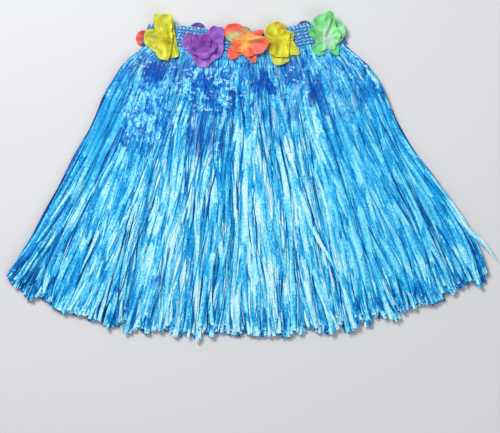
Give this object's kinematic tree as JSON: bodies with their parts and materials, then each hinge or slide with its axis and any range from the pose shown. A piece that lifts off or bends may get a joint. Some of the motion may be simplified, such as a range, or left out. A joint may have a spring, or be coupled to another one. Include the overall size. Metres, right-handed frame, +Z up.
{
  "type": "grass skirt",
  "caption": "Child's raffia hula skirt lying flat, its strands fanned out below a gathered elastic waistband with silk flowers.",
  "frame": {"origin": "middle of the skirt's footprint, on the floor it lies on", "axes": "+X across the skirt to its wearer's left, as laid with the front up; +Y from the hem to the waist; +Z up from the floor"},
  "size_m": [0.6448, 0.4252, 0.0218],
  "materials": {
    "elastic": "gathered and shirred elastic knit, pale cyan over dark blue",
    "raffia_light": "split plastic raffia film, light cyan, fibrous and shiny",
    "raffia_deep": "split plastic raffia film, deeper blue, fibrous and shiny",
    "yellow": "printed polyester petal cloth, yellow",
    "purple": "printed polyester petal cloth, lilac at the rim",
    "violet": "printed polyester petal cloth, violet",
    "coral": "printed polyester petal cloth, coral to pale green",
    "orange": "printed polyester petal cloth, orange to pink",
    "green": "printed polyester petal cloth, green with a pale middle",
    "red": "printed polyester petal cloth, red"
  },
  "bodies": {
    "root": {"waistband": "elastic", "fringe_front_top": "raffia_light", "fringe_front_under": "raffia_deep", "fringe_back_upper": "raffia_light", "fringe_back_floor": "raffia_deep", "yellow_left_lower": "yellow", "yellow_left_upper": "yellow", "purple_lower": "purple", "purple_upper": "violet", "rainbow_lower": "coral", "rainbow_upper": "orange", "yellow_right_lower": "yellow", "yellow_right_upper": "yellow", "green_lower": "green", "green_upper": "green", "back_red": "red", "back_purple_left": "purple", "back_green": "green", "back_purple_right": "purple"}
  },
  "joints": []
}
